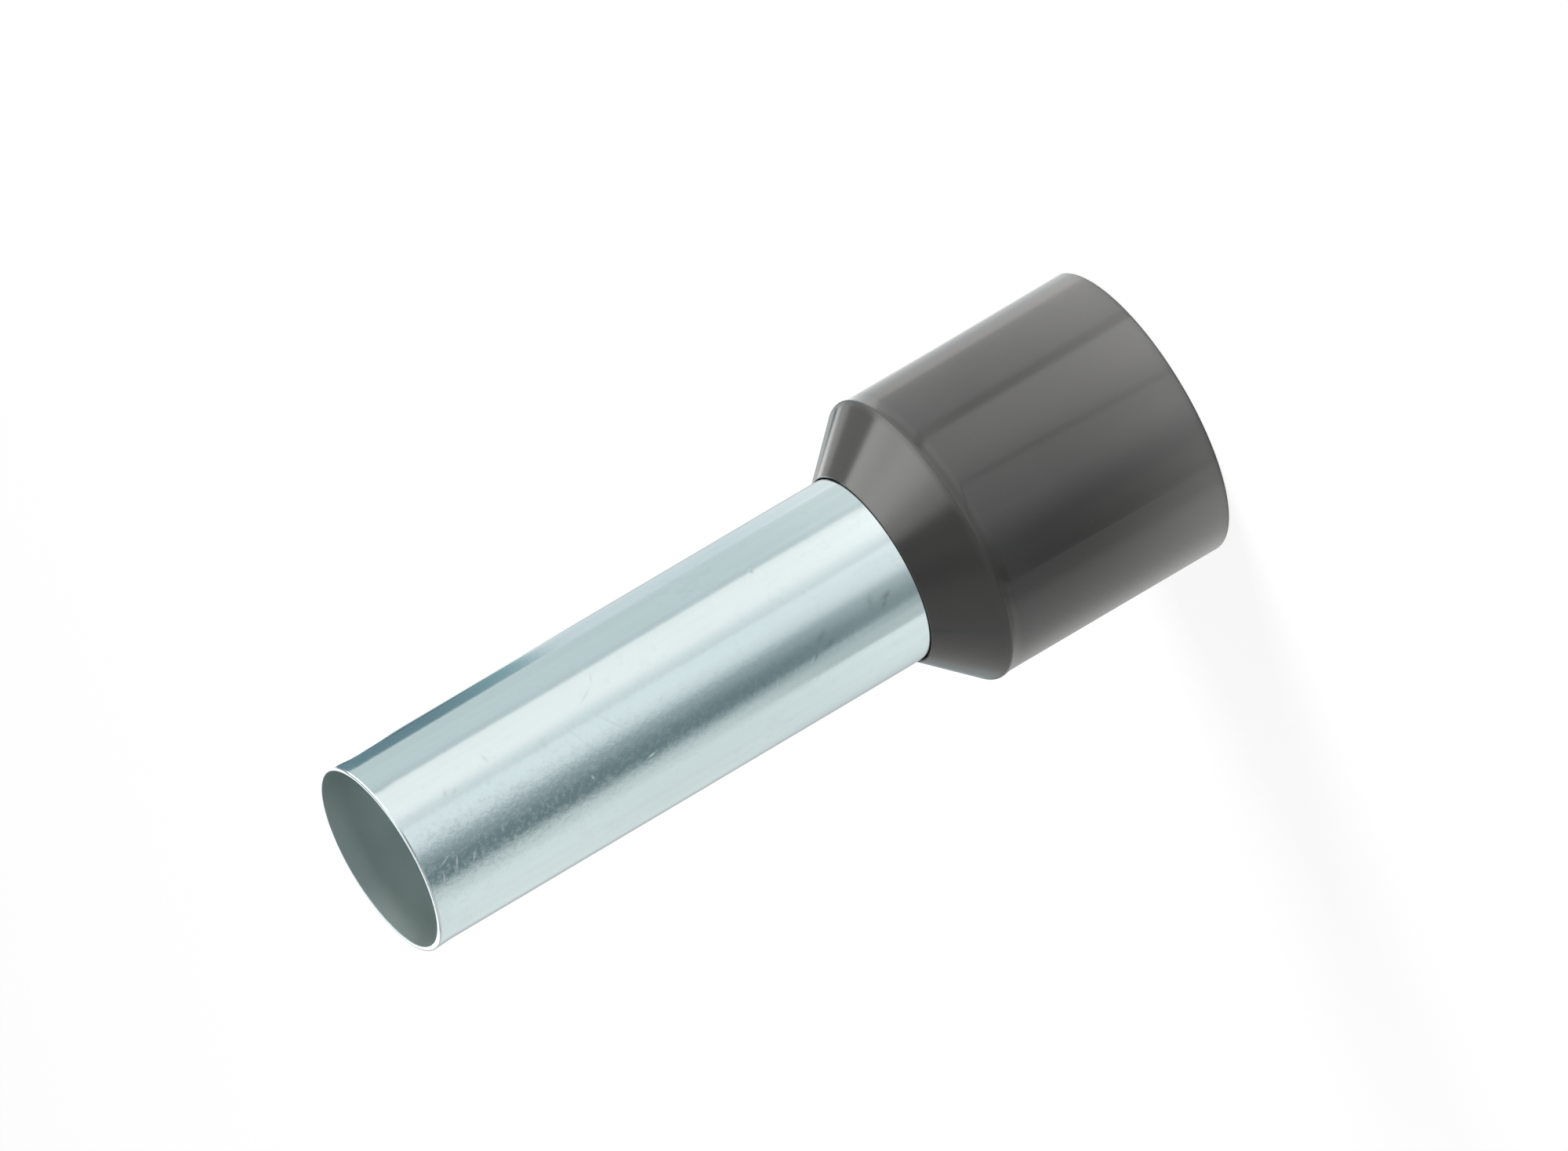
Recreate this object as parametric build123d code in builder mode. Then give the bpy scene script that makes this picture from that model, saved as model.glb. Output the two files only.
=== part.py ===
"""Insulated wire ferrule for a 35 mm2 stranded conductor.

A thin tin-plated copper sleeve stands up out of a moulded plastic collar. The sleeve is drawn from
one tube: its tip is very slightly flared where it was cut off, and its lower end is belled into a
funnel that seats inside the collar's conical shoulder, so the strands of a wire slide out of the wide
collar into the narrow sleeve without catching. The collar is one moulding, tight on the sleeve at its
lip and wide enough at its mouth for the wire's insulation.

The ferrule stands on the collar's mouth. The origin is the centre of the mouth, and +Z runs along the
axis towards the sleeve's tip. Both pieces are turned about that axis. Sizes are in millimetres.
"""

import os
from math import cos, radians, sin, tan

from build123d import *

# Sleeve: the bare tube
sleeve_bore = 8.3  # inside diameter, for the bare strands
sleeve_wall = 0.2  # sheet thickness, the same along the tube and the funnel
sleeve_exposed = 25.2  # bare length, from the collar's lip to the tip

# Sleeve: the cut tip
tip_flare = 0.06  # how far the tip stands out beyond the tube
tip_flare_length = 0.8  # length over which it does so
tip_flare_radius = 8.0  # sweep of the flare into the straight tube
tip_outer_edge = 0.09  # rounding of the tip's outer edge
tip_inner_edge = 0.03  # chamfer of the tip's inner edge

# Sleeve: the funnel
funnel_bend = 0.5  # bend radius on the outside of the tube
funnel_clearance = 0.12  # between the funnel's rim and the rounding inside the collar's shoulder

# Collar: the round wall
collar_length = 13.8  # from the mouth to the lip
collar_bore = 12.5  # inside diameter, for the wire's insulation
collar_wall = 0.4  # of the round wall at its thinnest, and through the conical shoulder
collar_draft = 0.2  # degrees by which the outside opens towards the mouth
mouth_outer_edge = 0.1  # rounding of the mouth's outer edge
mouth_lead_in = 0.1  # chamfer of the mouth's inner edge

# Collar: the shoulder and the lip
shoulder_angle = 42.0  # degrees between the conical shoulder and the axis
shoulder_ridge = 0.08  # how far the shoulder's edge stands proud of the wall
shoulder_ridge_length = 0.7  # length over which the wall swells out to it
shoulder_edge = 0.15  # rounding of the shoulder's outer edge
shoulder_root = 0.5  # rounding inside, where the wall meets the shoulder
lip_clearance = 0.05  # fine gap round the sleeve, inside the lip
lip_thickness = 0.06  # of the collar's edge round that gap
seat_relief = 0.15  # how much rounder the collar's seat is than the sleeve's bend

# Fit of the sleeve's funnel in the collar's conical shoulder: pressed together, line to line
seat_clearance = 0.0

# Worked out from the sizes above
sleeve_radius = sleeve_bore / 2 + sleeve_wall
tip_radius = sleeve_radius + tip_flare
tip_z = collar_length + sleeve_exposed
angle = radians(shoulder_angle)
draft = tan(radians(collar_draft))
seat_bend = funnel_bend + seat_relief
lip_bore_radius = sleeve_radius + lip_clearance
lip_radius = lip_bore_radius + lip_thickness
bore_radius = collar_bore / 2
wall_radius = bore_radius + collar_wall
ridge_radius = wall_radius + shoulder_ridge
ridge_z = collar_length - (ridge_radius - lip_radius) / tan(angle)
mouth_radius = wall_radius + ridge_z * draft
# The inside of the shoulder lies one wall thickness in from its outside, square to the surface
seat_cone_radius_at_lip = lip_radius - collar_wall / cos(angle)
# The funnel ends short of where the rounding inside the shoulder begins
root_reach = shoulder_root * tan(angle / 2) * sin(angle)
funnel_radius = bore_radius - root_reach - funnel_clearance


def seat_cone_z(radius):
    """Height at which the inside of the conical shoulder has this radius."""
    return collar_length - (radius - seat_cone_radius_at_lip) / tan(angle)


def corner(section, radius, height):
    """The corner of a section that lies nearest to this radius and height."""
    return section.vertices().sort_by_distance((radius, height))[0]


# The sleeve is one thickness of metal along its outside line, which runs from the tip to the funnel's rim
# That line starts above the tip, where the section is then cut off level
overshoot = 2 * sleeve_wall
overshoot_radius = tip_radius + tip_flare * overshoot / tip_flare_length
rim_z = seat_cone_z(funnel_radius + seat_clearance)

with BuildPart() as contact_sleeve:
    with BuildSketch(Plane.XZ) as sleeve_section:
        with BuildLine() as sleeve_outside:
            FilletPolyline(
                (overshoot_radius, tip_z + overshoot),
                (sleeve_radius, tip_z - tip_flare_length),
                (sleeve_radius, seat_cone_z(sleeve_radius + seat_clearance)),
                (funnel_radius, rim_z),
                radius=[tip_flare_radius, funnel_bend],
            )
            offset(amount=sleeve_wall, side=Side.RIGHT)
        make_face()
        split(bisect_by=Plane(origin=(0, tip_z, 0), z_dir=(0, 1, 0)), keep=Keep.BOTTOM)
        chamfer(corner(sleeve_section, tip_radius - sleeve_wall, tip_z), length=tip_inner_edge)
        fillet(corner(sleeve_section, tip_radius, tip_z), radius=tip_outer_edge)
    revolve(axis=Axis.Z)

with BuildPart() as insulating_collar:
    with BuildSketch(Plane.XZ) as collar_section:
        with BuildLine() as collar_outline:
            swelling_z = ridge_z - shoulder_ridge_length
            swelling_radius = wall_radius + shoulder_ridge_length * draft
            outer_wall = Line((mouth_radius, 0), (swelling_radius, swelling_z))
            swelling = TangentArc(outer_wall @ 1, (ridge_radius, ridge_z), tangent=outer_wall % 1)
            shoulder = Line(swelling @ 1, (lip_radius, collar_length))
            Polyline(
                shoulder @ 1,
                (lip_bore_radius, collar_length),
                (lip_bore_radius, seat_cone_z(lip_bore_radius)),
                (bore_radius, seat_cone_z(bore_radius)),
                (bore_radius, 0),
                outer_wall @ 0,
            )
        make_face()
        fillet(corner(collar_section, mouth_radius, 0), radius=mouth_outer_edge)
        chamfer(corner(collar_section, bore_radius, 0), length=mouth_lead_in)
        fillet(corner(collar_section, ridge_radius, ridge_z), radius=shoulder_edge)
        fillet(corner(collar_section, bore_radius, seat_cone_z(bore_radius)), radius=shoulder_root)
        fillet(corner(collar_section, lip_bore_radius, seat_cone_z(lip_bore_radius)), radius=seat_bend)
    revolve(axis=Axis.Z)

contact_sleeve.part.label = "contact_sleeve"
insulating_collar.part.label = "insulating_collar"

os.makedirs("parts", exist_ok=True)
export_step(contact_sleeve.part, "parts/contact_sleeve.step")
export_step(insulating_collar.part, "parts/insulating_collar.step")
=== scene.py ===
"""Insulated wire ferrule: the dressed model, its studio and its camera.

The ferrule stands on the mouth of its collar, with +Z along its axis towards the sleeve's tip. Both
pieces are turned surfaces, worked out in millimetres from the sizes of the solids that they stand for,
and put into their meshes in metres. The studio is a pale floor with two rings of light at the collar's
foot, two soft lamps, and a light tent whose upright panels are what the tin plate and the plastic
reflect.
"""

import logging
import math
from dataclasses import dataclass, field
from enum import Enum

import bpy
import numpy as np
from mathutils import Matrix, Vector


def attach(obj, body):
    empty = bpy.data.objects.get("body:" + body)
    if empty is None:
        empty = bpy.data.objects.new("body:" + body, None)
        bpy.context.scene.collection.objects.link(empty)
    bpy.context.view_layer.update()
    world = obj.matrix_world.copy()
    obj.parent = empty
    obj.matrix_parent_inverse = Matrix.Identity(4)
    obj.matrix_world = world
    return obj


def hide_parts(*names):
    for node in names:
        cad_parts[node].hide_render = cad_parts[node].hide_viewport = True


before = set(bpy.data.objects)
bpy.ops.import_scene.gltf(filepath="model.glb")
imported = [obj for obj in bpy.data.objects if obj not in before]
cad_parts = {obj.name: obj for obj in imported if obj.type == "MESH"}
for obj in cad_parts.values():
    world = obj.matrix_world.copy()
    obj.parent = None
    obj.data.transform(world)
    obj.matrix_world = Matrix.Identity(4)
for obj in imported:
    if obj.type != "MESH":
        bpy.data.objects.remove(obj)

MM = 0.001
LOG = logging.getLogger("ferrule")
Tone = tuple[float, float, float]
Scale = tuple[float, float, float]

# The colour sockets of a Mix node, by number
MIX_LOW, MIX_HIGH, MIX_RESULT = 6, 7, 2


class Slot(Enum):
    """The record's material slots."""

    SLEEVE = "tinned_copper"
    COLLAR = "grey_plastic"


class Node(Enum):
    """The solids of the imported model."""

    SLEEVE = "contact_sleeve"
    COLLAR = "insulating_collar"


class Ray(Enum):
    """The kinds of ray that a studio object can answer to, by Cycles' visibility flags."""

    CAMERA = "visible_camera"
    DIFFUSE = "visible_diffuse"
    GLOSSY = "visible_glossy"
    TRANSMISSION = "visible_transmission"
    SHADOW = "visible_shadow"


# Shader expressions


class Term:
    """A number socket that takes part in Python arithmetic; each operation adds a Math node."""

    def __init__(self, graph: "Graph", socket: bpy.types.NodeSocket) -> None:
        """Wraps one output socket of a graph."""
        self.graph = graph
        self.socket = socket

    def math(self, operation: str, *others: "Term | float", first: float | None = None) -> "Term":
        """Adds a Math node for the operation on this term and others, with first in front if given."""
        operands = ([first] if first is not None else []) + [self, *others]
        return self.graph.add("ShaderNodeMath", {"operation": operation}, dict(enumerate(operands))).term()

    def __add__(self, other: "Term | float") -> "Term":
        """This plus other."""
        return self.math("ADD", other)

    def __radd__(self, other: float) -> "Term":
        """Other plus this."""
        return self.math("ADD", other)

    def __sub__(self, other: "Term | float") -> "Term":
        """This less other."""
        return self.math("SUBTRACT", other)

    def __rsub__(self, other: float) -> "Term":
        """Other less this."""
        return self.math("SUBTRACT", first=other)

    def __mul__(self, other: "Term | float") -> "Term":
        """This times other."""
        return self.math("MULTIPLY", other)

    def __rmul__(self, other: float) -> "Term":
        """Other times this."""
        return self.math("MULTIPLY", other)

    def __truediv__(self, other: "Term | float") -> "Term":
        """This over other."""
        return self.math("DIVIDE", other)

    def __abs__(self) -> "Term":
        """This without its sign."""
        return self.math("ABSOLUTE")

    def wrapped(self, low: float, high: float) -> "Term":
        """This, brought into the range from low to high by whole turns of it."""
        return self.math("WRAP", high, low)

    def between(self, low: float, high: float) -> "Term":
        """A smooth step: 0 where this is at low, 1 where it is at high."""
        sockets = {"Value": self, "From Min": low, "From Max": high}
        return self.graph.add("ShaderNodeMapRange", {"interpolation_type": "SMOOTHSTEP"}, sockets).term()


@dataclass
class Made:
    """A node that a graph has made."""

    graph: "Graph"
    node: bpy.types.Node

    def out(self, name: str | int = 0) -> bpy.types.NodeSocket:
        """One of its output sockets."""
        return self.node.outputs[name]

    def term(self, name: str | int = 0) -> Term:
        """One of its outputs, ready for arithmetic."""
        return Term(self.graph, self.node.outputs[name])


class Graph:
    """The node tree of one material or world."""

    def __init__(self, tree: bpy.types.NodeTree) -> None:
        """Takes over a tree and empties it."""
        self.tree = tree
        tree.nodes.clear()

    def add(self, kind: str, settings: dict | None = None, sockets: dict | None = None) -> Made:
        """Adds one node, sets it and then joins its sockets.

        Args:
            kind: the node's type.
            settings: the node's own properties, which are set first.
            sockets: input name or number to a value, a Term or an output socket.

        Returns:
            The node.
        """
        node = self.tree.nodes.new(kind)
        for name, value in (settings or {}).items():
            setattr(node, name, value)
        for name, value in (sockets or {}).items():
            if isinstance(value, Term):
                value = value.socket
            if isinstance(value, bpy.types.NodeSocket):
                self.tree.links.new(value, node.inputs[name])
            else:
                node.inputs[name].default_value = value
        return Made(self, node)

    def blend(self, low: "Tone | bpy.types.NodeSocket", high: "Tone | bpy.types.NodeSocket",
              mask: Term) -> bpy.types.NodeSocket:
        """Adds a Mix node for colours.

        Args:
            low: the colour, or the socket that gives it, where the mask is 0.
            high: the same where the mask is 1.
            mask: what chooses between them.

        Returns:
            The mixed colour.
        """
        sides = {MIX_LOW: low, MIX_HIGH: high}
        sockets = {k: (*v, 1.0) if isinstance(v, tuple) else v for k, v in sides.items()}
        return self.add("ShaderNodeMix", {"data_type": "RGBA"}, {0: mask, **sockets}).out(MIX_RESULT)

    def noise(self, place: bpy.types.NodeSocket, per_mm: float, detail: float = 2.0,
              roughness: float = 0.5) -> Term:
        """Fractal noise from 0 to 1, with that many features to the millimetre."""
        sockets = {"Vector": place, "Scale": per_mm / MM, "Detail": detail, "Roughness": roughness}
        return self.add("ShaderNodeTexNoise", {"noise_dimensions": "3D"}, sockets).term()

    def stretched(self, place: bpy.types.NodeSocket, scale: Scale) -> bpy.types.NodeSocket:
        """A place with each axis multiplied by its own number."""
        return self.add("ShaderNodeVectorMath", {"operation": "MULTIPLY"}, {0: place, 1: scale}).out()


@dataclass(frozen=True)
class Mark:
    """A small flaw in a turned surface: a shallow oval dint, or a scratch when it is long and narrow."""

    azimuth: float
    """Degrees from the camera's side, growing towards -X."""
    height: float
    """Millimetres up from the mouth."""
    long: float
    """Half its length, in millimetres."""
    wide: float
    """Half its width, in millimetres."""
    turn: float = 0.0
    """Degrees that its length leans from level."""
    depth: float = 1.0
    """How deep it is, as a multiple of its finish's mark depth; below zero it stands proud."""
    stain: float = 0.0
    """How much it darkens the surface."""
    scuff: float = 0.0
    """How much rougher than the rest it is."""


@dataclass(frozen=True)
class SideShift:
    """A sideways shift of the sleeve's inner surface near the tip, where the wall is then uneven."""

    by: float = 0.0
    """How far it goes, in millimetres."""
    azimuth: float = 0.0
    """Where it goes to, in degrees from the camera's side, growing towards -X."""
    start: float = 0.0
    """Height at which it sets in, in millimetres."""
    full: float = 1.0
    """Height at which it is complete."""


class Surface:
    """Where a point is on a turned piece, for its finish to read."""

    def __init__(self, graph: Graph) -> None:
        """Reads the object's own coordinates once.

        The radius is the distance from the axis and the azimuth the angle from -Y towards -X.

        Args:
            graph: the node graph of the piece's material.
        """
        self.place = graph.add("ShaderNodeTexCoord").out("Object")
        split = graph.add("ShaderNodeSeparateXYZ", None, {0: self.place})
        x, y = split.term("X"), split.term("Y")
        self.height = split.term("Z") / MM
        self.radius = (x * x + y * y).math("SQRT") / MM
        self.azimuth = (x * -1.0).math("ARCTAN2", y * -1.0) * math.degrees(1.0)

    def mark(self, mark: Mark, radius: float) -> Term:
        """How strong a mark is at each point.

        Its strength falls off as exp(-(a/long)^2 - (b/wide)^2), where a and b are the distances in
        millimetres along and across the mark on the surface.

        Args:
            mark: the flaw.
            radius: radius of the surface that it is on, in millimetres.

        Returns:
            Its strength, from 0 away from it to 1 at its middle.
        """
        turn = math.radians(mark.turn)
        across = (self.azimuth - mark.azimuth).wrapped(-180.0, 180.0) * (math.radians(1.0) * radius)
        up = self.height - mark.height
        along = (across * math.cos(turn) + up * math.sin(turn)) / mark.long
        aside = (up * math.cos(turn) - across * math.sin(turn)) / mark.wide
        return (along * along + aside * aside).math("MULTIPLY", -1.0).math("EXPONENT")


# Finishes


@dataclass(frozen=True)
class TinPlate:
    """Bright tin plate over drawn copper: a soft mirror outside, matt inside, where painted shade darkens it
    near the tip.

    A point is outside where its radius, with the inner surface's shift taken off, is past bore_outer,
    and inside where it is short of bore_inner. One side of the sleeve is worn: it has a fine grain,
    strongest round worn_azimuth and towards grain_high. Lengths are in millimetres, azimuths in
    degrees.
    """

    name: str = "tin_plate"
    bright: Tone = (0.80, 0.87, 0.875)
    dull_share: float = 0.95
    stained_share: float = 0.3
    bore_tone: Tone = (0.82, 0.915, 0.90)
    # Painted shade: the inside of the bore is darkened in colour towards the rim, from bore_rim_from to
    # bore_rim_to
    bore_rim_painted_shade: Tone = (0.55, 0.63, 0.62)
    bore_rim_from: float = 36.3
    bore_rim_to: float = 38.6
    bore_inner: float = 4.215
    bore_outer: float = 4.245
    roughness: float = 0.11
    cloud_roughness: float = 0.05
    bore_roughness: float = 0.45
    drawn_per_mm: float = 1.4
    drawn_stretch: Scale = (1.0, 1.0, 0.02)
    drawn_depth: float = 0.08
    """Height of the drawing lines, as a share of the grain's."""
    cloud_per_mm: float = 0.26
    cloud_share: float = 0.4
    """How much of the dull and smudged patterns is clouds; the rest is finer."""
    dull_range: tuple[float, float] = (0.30, 0.60)
    """Where in its pattern the tin is fully dull, and fully bright."""
    grain_per_mm: float = 4.5
    speck_per_mm: float = 12.0
    speck_share: float = 0.25
    fine_noise: float = 0.6
    """Roughness of the noise that makes the grain, the specks and the smudges."""
    grain_depth: float = 0.009
    matt_range: tuple[float, float] = (0.38, 0.72)
    """Where in the grain's pattern it begins to make the surface matt, and does so fully."""
    grain_matt: float = 0.27
    """How much rougher the grain makes the surface."""
    grain_elsewhere: float = 0.10
    """How much of the grain there is away from the worn side."""
    worn_azimuth: float = 20.0
    worn_inner: float = 12.0
    worn_outer: float = 40.0
    grain_low: float = 15.0
    grain_high: float = 36.0
    smudge_per_mm: float = 1.9
    smudge_range: tuple[float, float] = (0.52, 0.66)
    smudge: float = 0.05
    stain_least: float = 0.2
    """How much of a stain shows where the grain is lowest."""
    stain_by_grain: float = 1.6
    marks: tuple[Mark, ...] = ()
    mark_depth: float = 0.010
    sleeve_radius: float = 4.35
    shift: SideShift = SideShift()

    def make(self) -> bpy.types.Material:
        """Builds the material: a metal whose tone, roughness and height vary with place.

        The height is the grain, times how worn the place is, plus the drawing lines, less the marks.
        The roughness grows with the grain and the scuffed marks. The tone goes from dull to bright
        with the drawing lines and the clouds, and towards stained with the smudges and the stained
        marks. Inside the bore, tone and roughness are the bore's own, and towards the rim the tone is
        darkened by painted shade.

        Returns:
            The material.
        """
        material = bpy.data.materials.new(self.name)
        material.use_nodes = True
        graph = Graph(material.node_tree)
        surface = Surface(graph)
        shift = self.shift
        aside = ((surface.azimuth - shift.azimuth) * math.radians(1.0)).math("COSINE")
        aside = aside * surface.height.between(shift.start, shift.full) * shift.by
        outside = (surface.radius - aside).between(self.bore_inner, self.bore_outer)
        drawn = graph.noise(graph.stretched(surface.place, self.drawn_stretch), self.drawn_per_mm, detail=3.0)
        cloud = graph.noise(surface.place, self.cloud_per_mm)
        grain = graph.noise(surface.place, self.grain_per_mm, roughness=self.fine_noise)
        speck = graph.noise(surface.place, self.speck_per_mm, roughness=self.fine_noise)
        turned_away = abs((surface.azimuth - self.worn_azimuth).wrapped(-180.0, 180.0))
        patch = 1 - turned_away.between(self.worn_inner, self.worn_outer)
        worn = (1 - self.grain_elsewhere) * patch * surface.height.between(self.grain_low, self.grain_high)
        worn = self.grain_elsewhere + worn
        matt = grain * (1 - self.speck_share) + speck * self.speck_share
        matt = matt.between(*self.matt_range) * worn
        smudge = graph.noise(surface.place, self.smudge_per_mm, detail=3.0, roughness=self.fine_noise)
        smudge = smudge * (1 - self.cloud_share) + cloud * self.cloud_share
        smudge = smudge.between(*self.smudge_range)

        height = (grain - 0.5) * (worn * self.grain_depth)
        height = height + (drawn - 0.5) * (self.drawn_depth * self.grain_depth)
        gloss = self.roughness + (cloud - 0.5) * self.cloud_roughness + matt * self.grain_matt
        stain = smudge * self.smudge
        for mark in self.marks:
            mask = surface.mark(mark, self.sleeve_radius)
            height = height - mask * (self.mark_depth * mark.depth)
            if mark.scuff:
                gloss = gloss + mask * mark.scuff
            if mark.stain:
                stain = stain.math("MAXIMUM", mask * mark.stain)

        dull = tuple(self.dull_share * c for c in self.bright)
        stained = tuple(self.stained_share * c for c in self.bright)
        clean = (drawn * (1 - self.cloud_share) + cloud * self.cloud_share).between(*self.dull_range)
        skin = graph.blend(dull, self.bright, clean)
        skin = graph.blend(skin, stained, stain * (self.stain_least + self.stain_by_grain * grain))
        # Painted shade: the bore's tone darkens towards the rim
        painted_shade_near_rim = surface.height.between(self.bore_rim_from, self.bore_rim_to)
        tone = graph.blend(graph.blend(self.bore_tone, self.bore_rim_painted_shade, painted_shade_near_rim), skin, outside)
        roughness = self.bore_roughness + (gloss - self.bore_roughness) * outside
        bump = graph.add("ShaderNodeBump", None, {"Strength": 1.0, "Distance": MM, "Height": height})
        shader = graph.add("ShaderNodeBsdfPrincipled", None, {
            "Base Color": tone, "Metallic": 1.0, "Roughness": roughness, "Normal": bump.out(),
        })
        graph.add("ShaderNodeOutputMaterial", None, {"Surface": shader.out()})
        return material


@dataclass(frozen=True)
class CollarPlastic:
    """Dark grey moulded plastic, semi-gloss, with faint flow lines along the mould and handling marks.

    The shoulder's edge is rougher than the rest and has a painted highlight. Lengths are in millimetres.
    """

    name: str = "collar_plastic"
    grey: Tone = (0.087, 0.086, 0.084)
    flow_grey: Tone = (0.076, 0.076, 0.075)
    roughness: float = 0.13
    cloud_roughness: float = 0.06
    fine_roughness: float = 0.04
    ior: float = 1.5
    flow_per_mm: float = 0.42
    flow_stretch: Scale = (1.0, 1.0, 0.06)
    flow_share: float = 0.5
    """How much of the tone's pattern is flow lines; the rest is clouds."""
    flow_range: tuple[float, float] = (0.35, 0.60)
    """Where in that pattern the tone is all flow grey, and all plain grey."""
    cloud_per_mm: float = 0.18
    peel_per_mm: float = 1.9
    peel_depth: float = 0.0006
    fine_per_mm: float = 9.0
    fine_depth: float = 0.12
    """Height of the finest texture, as a share of the peel's."""
    marks: tuple[Mark, ...] = ()
    mark_depth: float = 0.004
    wall_radius: float = 6.67
    ridge_height: float = 11.28
    ridge_below: float = 0.10
    # How far below the shoulder's edge its painted highlight line begins.
    """How far below the shoulder's edge its lighter line begins."""
    ridge_above: tuple[float, float] = (0.04, 0.30)
    """How far above the edge that line starts to fade, and ends."""
    # Painted highlight: a lighter grey laid along the shoulder's edge where the edge catches the light
    ridge_highlight_grey: Tone = (0.120, 0.118, 0.116)
    ridge_highlight_share: float = 0.3
    ridge_roughness: float = 0.16

    def make(self) -> bpy.types.Material:
        """Builds the material: a plastic whose tone, roughness and height vary with place.

        The tone goes from flow grey to grey with the flow lines and the clouds, and a little towards
        the painted highlight grey along the shoulder's edge. The roughness varies with the clouds and the
        finest texture, and grows along that edge and in the scuffed marks. The height is the peel plus the
        finest texture, less the marks.

        Returns:
            The material.
        """
        material = bpy.data.materials.new(self.name)
        material.use_nodes = True
        graph = Graph(material.node_tree)
        surface = Surface(graph)
        flow = graph.noise(graph.stretched(surface.place, self.flow_stretch), self.flow_per_mm, detail=3.0)
        cloud = graph.noise(surface.place, self.cloud_per_mm, detail=3.0)
        peel = graph.noise(surface.place, self.peel_per_mm)
        fine = graph.noise(surface.place, self.fine_per_mm)

        plain = (flow * self.flow_share + cloud * (1 - self.flow_share)).between(*self.flow_range)
        tone = graph.blend(self.flow_grey, self.grey, plain)
        roughness = self.roughness + (cloud - 0.5) * self.cloud_roughness
        roughness = roughness + (fine - 0.5) * self.fine_roughness
        height = (peel - 0.5) * self.peel_depth + (fine - 0.5) * (self.fine_depth * self.peel_depth)
        fade_from, fade_to = (self.ridge_height + above for above in self.ridge_above)
        ridge = surface.height.between(self.ridge_height - self.ridge_below, self.ridge_height)
        ridge = ridge * (1 - surface.height.between(fade_from, fade_to))
        # Painted highlight: the tone is lightened along the shoulder's edge
        tone = graph.blend(tone, self.ridge_highlight_grey, ridge * self.ridge_highlight_share)
        roughness = roughness + ridge * self.ridge_roughness
        for mark in self.marks:
            mask = surface.mark(mark, self.wall_radius)
            height = height - mask * (self.mark_depth * mark.depth)
            roughness = roughness + mask * mark.scuff
        bump = graph.add("ShaderNodeBump", None, {"Strength": 1.0, "Distance": MM, "Height": height})
        shader = graph.add("ShaderNodeBsdfPrincipled", None, {
            "Base Color": tone, "Metallic": 0.0, "Roughness": roughness, "IOR": self.ior,
            "Normal": bump.out(),
        })
        graph.add("ShaderNodeOutputMaterial", None, {"Surface": shader.out()})
        return material


# Turned pieces


@dataclass(frozen=True)
class FerruleSizes:
    """The solids' own sizes, in millimetres and degrees."""

    sleeve_bore: float = 8.3
    sleeve_wall: float = 0.2
    sleeve_exposed: float = 25.2
    tip_flare: float = 0.06
    tip_flare_length: float = 0.8
    tip_flare_radius: float = 8.0
    tip_outer_edge: float = 0.09
    tip_inner_edge: float = 0.03
    funnel_bend: float = 0.5
    funnel_clearance: float = 0.12
    collar_length: float = 13.8
    collar_bore: float = 12.5
    collar_wall: float = 0.4
    collar_draft: float = 0.2
    mouth_outer_edge: float = 0.1
    mouth_lead_in: float = 0.1
    shoulder_angle: float = 42.0
    shoulder_ridge: float = 0.08
    shoulder_ridge_length: float = 0.7
    shoulder_edge: float = 0.15
    shoulder_root: float = 0.5
    lip_clearance: float = 0.05
    lip_thickness: float = 0.06
    seat_relief: float = 0.15

    @property
    def angle(self) -> float:
        """Between the conical shoulder and the axis, in radians."""
        return math.radians(self.shoulder_angle)

    @property
    def sleeve_radius(self) -> float:
        """Outside radius of the bare tube."""
        return self.sleeve_bore / 2 + self.sleeve_wall

    @property
    def tip_radius(self) -> float:
        """Outside radius of the flared tip."""
        return self.sleeve_radius + self.tip_flare

    @property
    def tip_height(self) -> float:
        """Height of the tip."""
        return self.collar_length + self.sleeve_exposed

    @property
    def lip_bore_radius(self) -> float:
        """Radius of the hole in the collar's lip."""
        return self.sleeve_radius + self.lip_clearance

    @property
    def lip_radius(self) -> float:
        """Outside radius of the collar's lip."""
        return self.lip_bore_radius + self.lip_thickness

    @property
    def wall_radius(self) -> float:
        """Outside radius of the collar's wall at its thinnest."""
        return self.collar_bore / 2 + self.collar_wall

    @property
    def ridge_radius(self) -> float:
        """Outside radius of the shoulder's edge."""
        return self.wall_radius + self.shoulder_ridge

    @property
    def ridge_height(self) -> float:
        """Height of the shoulder's edge."""
        return self.collar_length - (self.ridge_radius - self.lip_radius) / math.tan(self.angle)

    @property
    def draft(self) -> float:
        """How much the collar's radius grows for each millimetre down its wall."""
        return math.tan(math.radians(self.collar_draft))

    @property
    def mouth_radius(self) -> float:
        """Outside radius of the mouth."""
        return self.wall_radius + self.ridge_height * self.draft

    @property
    def funnel_radius(self) -> float:
        """Outside radius of the funnel's rim."""
        root_reach = self.shoulder_root * math.tan(self.angle / 2) * math.sin(self.angle)
        return self.collar_bore / 2 - root_reach - self.funnel_clearance

    def seat_height(self, radius: float) -> float:
        """Height at which the inside of the conical shoulder has this radius."""
        at_lip = self.lip_radius - self.collar_wall / math.cos(self.angle)
        return self.collar_length - (radius - at_lip) / math.tan(self.angle)


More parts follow.
